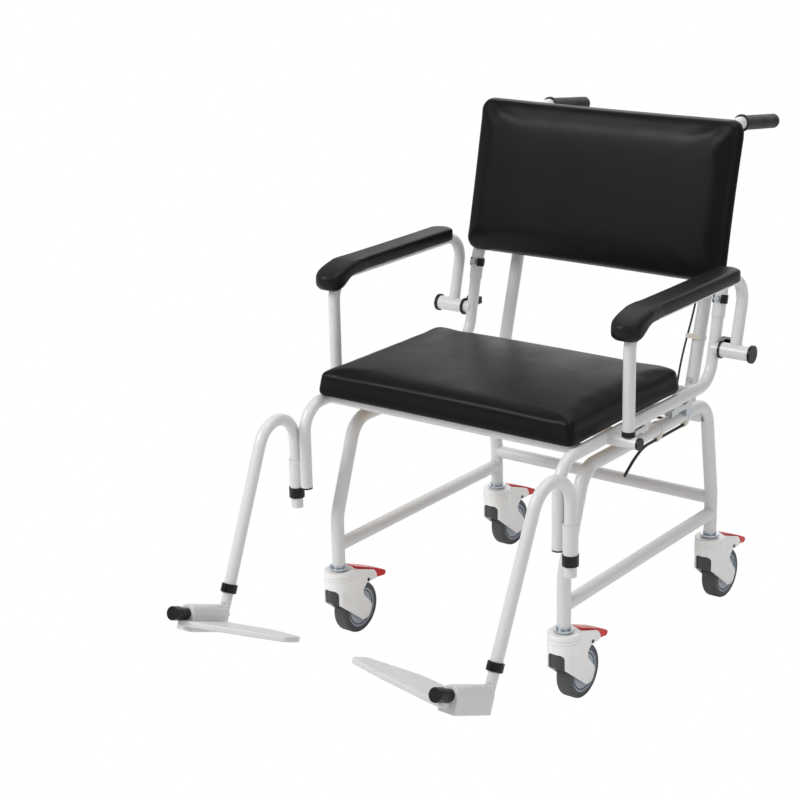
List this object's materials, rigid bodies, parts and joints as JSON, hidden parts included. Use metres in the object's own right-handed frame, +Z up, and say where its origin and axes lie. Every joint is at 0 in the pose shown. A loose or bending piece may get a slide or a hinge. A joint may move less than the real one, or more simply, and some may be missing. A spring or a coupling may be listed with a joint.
{
  "type": "chair scale",
  "caption": "Wheeled weighing chair with lifting armrests, swing-away footrests, braked casters, load cells under the seat frame and a tilting display on the push handles.",
  "frame": {"origin": "on the floor, midway between the four caster stems", "axes": "+Z up, +X across the chair to the viewer's right, -Y the way that the sitter faces"},
  "size_m": [0.7106, 1.2496, 0.9592],
  "materials": {
    "white_paint": "gloss powder coat, off-white",
    "zinc": "zinc plated",
    "alloy": "satin machined",
    "black_plastic": "matt moulded",
    "grey_plastic": "matt moulded, mid grey",
    "caster_plastic": "gloss moulded, white",
    "clip_nylon": "moulded, cream",
    "plate_grey": "satin moulded, light grey",
    "red_plastic": "gloss moulded red",
    "tread": "grey rubber",
    "black_rubber": "matt ribbed",
    "vinyl": "black vinyl",
    "board_wood": "plywood",
    "case_plastic": "light grey moulded",
    "film": "printed film",
    "lcd": "grey-green display",
    "pcb": "green circuit board",
    "battery": "shrink-wrapped cells",
    "lead_black": "soft sheath"
  },
  "bodies": {
    "frame": {"base_side_tube_left": "white_paint", "base_side_tube_right": "white_paint", "base_cross_members": "white_paint", "push_posts": "white_paint", "handle_grips": "black_rubber", "caster_stems": "zinc", "load_cells": "alloy", "load_cell_mounts": "zinc", "indicator_bracket": "zinc", "junction_box": "grey_plastic", "cable_clips": "clip_nylon", "indicator_lead": "lead_black", "rail_lead": "lead_black", "lead_tail": "lead_black", "frame_bolts": "zinc", "seat_side_tube_left": "white_paint", "seat_side_tube_right": "white_paint", "seat_cross_tubes": "white_paint", "seat_board": "board_wood", "seat_pad": "vinyl", "back_tube": "white_paint", "back_pad": "vinyl", "back_clips": "black_plastic", "tube_end_caps": "black_plastic"},
    "display": {"indicator_case_front": "case_plastic", "indicator_case_rear": "case_plastic", "indicator_overlay": "film", "lcd_modules": "lcd", "indicator_board": "pcb", "battery_pack": "battery"},
    "armrest_left": {"armrest_tube_left": "white_paint", "arm_pad_left": "vinyl"},
    "hanger_left": {"footrest_tube_left": "white_paint", "footrest_collar_left": "black_plastic"},
    "slide_left": {"footrest_slide_left": "white_paint", "footplate_pivot_left": "black_plastic"},
    "plate_left": {"footplate_left": "plate_grey"},
    "armrest_right": {"armrest_tube_right": "white_paint", "arm_pad_right": "vinyl"},
    "hanger_right": {"footrest_tube_right": "white_paint", "footrest_collar_right": "black_plastic"},
    "slide_right": {"footrest_slide_right": "white_paint", "footplate_pivot_right": "black_plastic"},
    "plate_right": {"footplate_right": "plate_grey"},
    "swivel_front_left": {"caster_housing_front_left": "caster_plastic", "caster_axle_front_left": "zinc"},
    "pedal_front_left": {"caster_pedal_front_left": "red_plastic"},
    "wheel_front_left": {"caster_wheel_front_left": "tread"},
    "swivel_front_right": {"caster_housing_front_right": "caster_plastic", "caster_axle_front_right": "zinc"},
    "pedal_front_right": {"caster_pedal_front_right": "red_plastic"},
    "wheel_front_right": {"caster_wheel_front_right": "tread"},
    "swivel_rear_left": {"caster_housing_rear_left": "caster_plastic", "caster_axle_rear_left": "zinc"},
    "pedal_rear_left": {"caster_pedal_rear_left": "red_plastic"},
    "wheel_rear_left": {"caster_wheel_rear_left": "tread"},
    "swivel_rear_right": {"caster_housing_rear_right": "caster_plastic", "caster_axle_rear_right": "zinc"},
    "pedal_rear_right": {"caster_pedal_rear_right": "red_plastic"},
    "wheel_rear_right": {"caster_wheel_rear_right": "tread"}
  },
  "joints": [
    {"name": "caster_swivel_front_left", "type": "hinge", "parent": "frame", "child": "swivel_front_left", "pos_m": [-0.25, -0.268, 0.13], "axis": [0, 0, 1], "continuous": true},
    {"name": "wheel_spin_front_left", "type": "hinge", "parent": "swivel_front_left", "child": "wheel_front_left", "pos_m": [-0.25, -0.221, 0.05], "axis": [1, 0, 0], "continuous": true},
    {"name": "brake_pedal_front_left", "type": "hinge", "parent": "swivel_front_left", "child": "pedal_front_left", "pos_m": [-0.25, -0.207, 0.1045], "axis": [-1, 0, 0], "range_deg": [0, 14]},
    {"name": "caster_swivel_front_right", "type": "hinge", "parent": "frame", "child": "swivel_front_right", "pos_m": [0.25, -0.268, 0.13], "axis": [0, 0, 1], "continuous": true},
    {"name": "wheel_spin_front_right", "type": "hinge", "parent": "swivel_front_right", "child": "wheel_front_right", "pos_m": [0.25, -0.221, 0.05], "axis": [1, 0, 0], "continuous": true},
    {"name": "brake_pedal_front_right", "type": "hinge", "parent": "swivel_front_right", "child": "pedal_front_right", "pos_m": [0.25, -0.207, 0.1045], "axis": [-1, 0, 0], "range_deg": [0, 14]},
    {"name": "caster_swivel_rear_left", "type": "hinge", "parent": "frame", "child": "swivel_rear_left", "pos_m": [-0.25, 0.268, 0.13], "axis": [0, 0, 1], "continuous": true},
    {"name": "wheel_spin_rear_left", "type": "hinge", "parent": "swivel_rear_left", "child": "wheel_rear_left", "pos_m": [-0.25, 0.315, 0.05], "axis": [1, 0, 0], "continuous": true},
    {"name": "brake_pedal_rear_left", "type": "hinge", "parent": "swivel_rear_left", "child": "pedal_rear_left", "pos_m": [-0.25, 0.329, 0.1045], "axis": [-1, 0, 0], "range_deg": [0, 14]},
    {"name": "caster_swivel_rear_right", "type": "hinge", "parent": "frame", "child": "swivel_rear_right", "pos_m": [0.25, 0.268, 0.13], "axis": [0, 0, 1], "continuous": true},
    {"name": "wheel_spin_rear_right", "type": "hinge", "parent": "swivel_rear_right", "child": "wheel_rear_right", "pos_m": [0.25, 0.315, 0.05], "axis": [1, 0, 0], "continuous": true},
    {"name": "brake_pedal_rear_right", "type": "hinge", "parent": "swivel_rear_right", "child": "pedal_rear_right", "pos_m": [0.25, 0.329, 0.1045], "axis": [-1, 0, 0], "range_deg": [0, 14]},
    {"name": "armrest_lift_left", "type": "hinge", "parent": "frame", "child": "armrest_left", "pos_m": [-0.318, 0.215, 0.5405], "axis": [-1, 0, 0], "range_deg": [0, 100]},
    {"name": "footrest_swing_left", "type": "hinge", "parent": "frame", "child": "hanger_left", "pos_m": [-0.298, -0.325, 0.344], "axis": [0, 0, -1], "range_deg": [0, 90]},
    {"name": "footrest_length_left", "type": "slide", "parent": "hanger_left", "child": "slide_left", "axis": [0.0213, -0.4062, -0.9135], "range_m": [-0.02, 0.06]},
    {"name": "footplate_flip_left", "type": "hinge", "parent": "slide_left", "child": "plate_left", "pos_m": [-0.28594, -0.5552, 0.147], "axis": [0.0487, -0.9291, 0.3665], "range_deg": [0, 84]},
    {"name": "armrest_lift_right", "type": "hinge", "parent": "frame", "child": "armrest_right", "pos_m": [0.318, 0.215, 0.5405], "axis": [-1, 0, 0], "range_deg": [0, 100]},
    {"name": "footrest_swing_right", "type": "hinge", "parent": "frame", "child": "hanger_right", "pos_m": [0.298, -0.325, 0.344], "axis": [0, 0, 1], "range_deg": [0, 90]},
    {"name": "footrest_length_right", "type": "slide", "parent": "hanger_right", "child": "slide_right", "axis": [-0.0213, -0.4062, -0.9135], "range_m": [-0.02, 0.06]},
    {"name": "footplate_flip_right", "type": "hinge", "parent": "slide_right", "child": "plate_right", "pos_m": [0.28594, -0.5552, 0.147], "axis": [0.0487, 0.9291, -0.3665], "range_deg": [0, 84]},
    {"name": "display_tilt", "type": "hinge", "parent": "frame", "child": "display", "pos_m": [0, 0.368, 0.806], "axis": [1, 0, 0], "range_deg": [-15, 25]}
  ]
}
